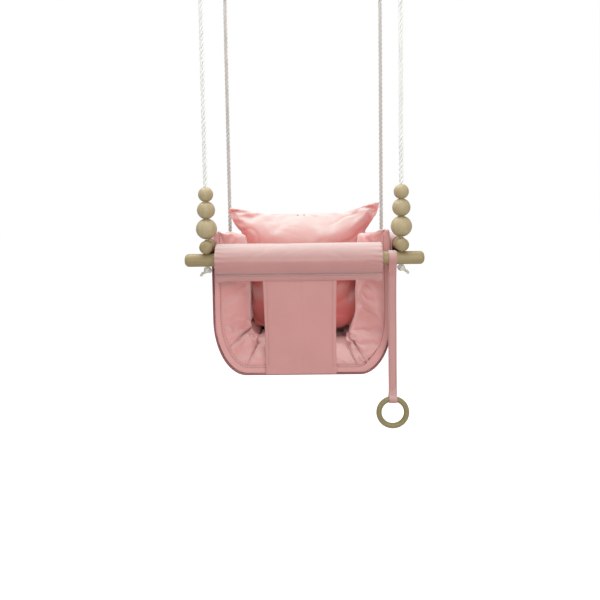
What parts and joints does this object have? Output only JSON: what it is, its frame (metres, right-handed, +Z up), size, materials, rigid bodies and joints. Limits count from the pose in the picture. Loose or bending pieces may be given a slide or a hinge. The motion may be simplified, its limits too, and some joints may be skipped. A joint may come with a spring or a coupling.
{
  "type": "toddler bucket swing",
  "caption": "Hanging toddler swing: padded canvas bucket with leg openings, back pillow, front guard and teether in a wooden rail frame, hung on ropes with steel rings.",
  "frame": {"origin": "midway between the centres of the four hanging rings, where the swing is hung", "axes": "+Z up along the ropes, +Y from the guard at the front to the back pillow, +X to the right of someone facing the front of the seat"},
  "size_m": [0.4, 0.3252, 0.922],
  "materials": {
    "rail_wood": "pale turned beech, waxed",
    "bead_wood": "pale turned beech, smooth",
    "cotton_rope": "three-strand natural cotton rope",
    "whipping_twine": "waxed twine wound tight",
    "ring_steel": "welded stainless steel, lightly brushed",
    "sling_canvas": "plain-weave cotton canvas, dusty pink",
    "liner_fabric": "quilted cotton, faded rose red, topstitched",
    "pillow_fabric": "soft cotton, faded rose red",
    "guard_foam": "closed-cell foam tube",
    "guard_fabric": "cotton canvas, faded rose red, topstitched",
    "strap_webbing": "folded cotton strap, pale rose"
  },
  "bodies": {
    "hangers": {"front_left_hanging_ring": "ring_steel", "front_right_hanging_ring": "ring_steel", "rear_left_hanging_ring": "ring_steel", "rear_right_hanging_ring": "ring_steel"},
    "front_ropes": {"front_left_rope": "cotton_rope", "front_right_rope": "cotton_rope", "front_left_whipping": "whipping_twine", "front_right_whipping": "whipping_twine"},
    "rear_ropes": {"rear_left_rope": "cotton_rope", "rear_right_rope": "cotton_rope", "rear_left_whipping": "whipping_twine", "rear_right_whipping": "whipping_twine"},
    "seat": {"front_rail": "rail_wood", "rear_rail": "rail_wood", "left_side_rail": "rail_wood", "right_side_rail": "rail_wood", "canvas_sling": "sling_canvas", "canvas_back_panel": "sling_canvas", "guard_foam": "guard_foam", "guard_cover": "guard_fabric", "crotch_panel": "guard_fabric", "front_left_rope_knot": "cotton_rope", "front_right_rope_knot": "cotton_rope", "rear_left_rope_knot": "cotton_rope", "rear_right_rope_knot": "cotton_rope"},
    "liner": {"liner_seat_pad": "liner_fabric", "liner_back_pad": "liner_fabric", "liner_left_pad": "liner_fabric", "liner_right_pad": "liner_fabric", "liner_front_border": "liner_fabric"},
    "pillow": {"back_pillow": "pillow_fabric"},
    "strap": {"teether_strap": "strap_webbing"},
    "teether": {"teether_ring": "bead_wood"},
    "left_large_bead": {"left_large_bead": "bead_wood"},
    "left_medium_bead": {"left_medium_bead": "bead_wood"},
    "left_small_bead": {"left_small_bead": "bead_wood"},
    "right_large_bead": {"right_large_bead": "bead_wood"},
    "right_medium_bead": {"right_medium_bead": "bead_wood"},
    "right_small_bead": {"right_small_bead": "bead_wood"}
  },
  "joints": [
    {"name": "swing", "type": "hinge", "parent": "hangers", "child": "front_ropes", "pos_m": [0, -0.14, -0.024], "axis": [1, 0, 0], "range_deg": [-25, 25]},
    {"name": "seat_level", "type": "hinge", "parent": "front_ropes", "child": "seat", "pos_m": [0, -0.14, -0.5647], "axis": [1, 0, 0], "range_deg": [-25, 25]},
    {"name": "rear_rope_swing", "type": "hinge", "parent": "hangers", "child": "rear_ropes", "pos_m": [0, 0.14, -0.024], "axis": [1, 0, 0], "range_deg": [-25, 25]},
    {"name": "left_large_bead_slide", "type": "slide", "parent": "front_ropes", "child": "left_large_bead", "axis": [0, 0, 1], "range_m": [0, 0.06]},
    {"name": "left_medium_bead_slide", "type": "slide", "parent": "left_large_bead", "child": "left_medium_bead", "axis": [0, 0, 1], "range_m": [0, 0.04]},
    {"name": "left_small_bead_slide", "type": "slide", "parent": "left_medium_bead", "child": "left_small_bead", "axis": [0, 0, 1], "range_m": [0, 0.04]},
    {"name": "right_large_bead_slide", "type": "slide", "parent": "front_ropes", "child": "right_large_bead", "axis": [0, 0, 1], "range_m": [0, 0.06]},
    {"name": "right_medium_bead_slide", "type": "slide", "parent": "right_large_bead", "child": "right_medium_bead", "axis": [0, 0, 1], "range_m": [0, 0.04]},
    {"name": "right_small_bead_slide", "type": "slide", "parent": "right_medium_bead", "child": "right_small_bead", "axis": [0, 0, 1], "range_m": [0, 0.04]},
    {"name": "strap_swing", "type": "hinge", "parent": "seat", "child": "strap", "pos_m": [0.147, -0.14, -0.6022], "axis": [-1, 0, 0], "range_deg": [-5, 110]},
    {"name": "teether_swing", "type": "hinge", "parent": "strap", "child": "teether", "pos_m": [0.147, -0.14, -0.8426], "axis": [-1, 0, 0], "range_deg": [-80, 80]},
    {"name": "liner_lift", "type": "slide", "parent": "seat", "child": "liner", "axis": [0, 0, 1], "range_m": [0, 0.22]},
    {"name": "pillow_lift", "type": "slide", "parent": "liner", "child": "pillow", "axis": [0, 0, 1], "range_m": [0, 0.16]}
  ],
  "couplings": [
    {"joint": "seat_level", "follows": "swing", "ratio": -1},
    {"joint": "rear_rope_swing", "follows": "swing", "ratio": 1}
  ]
}
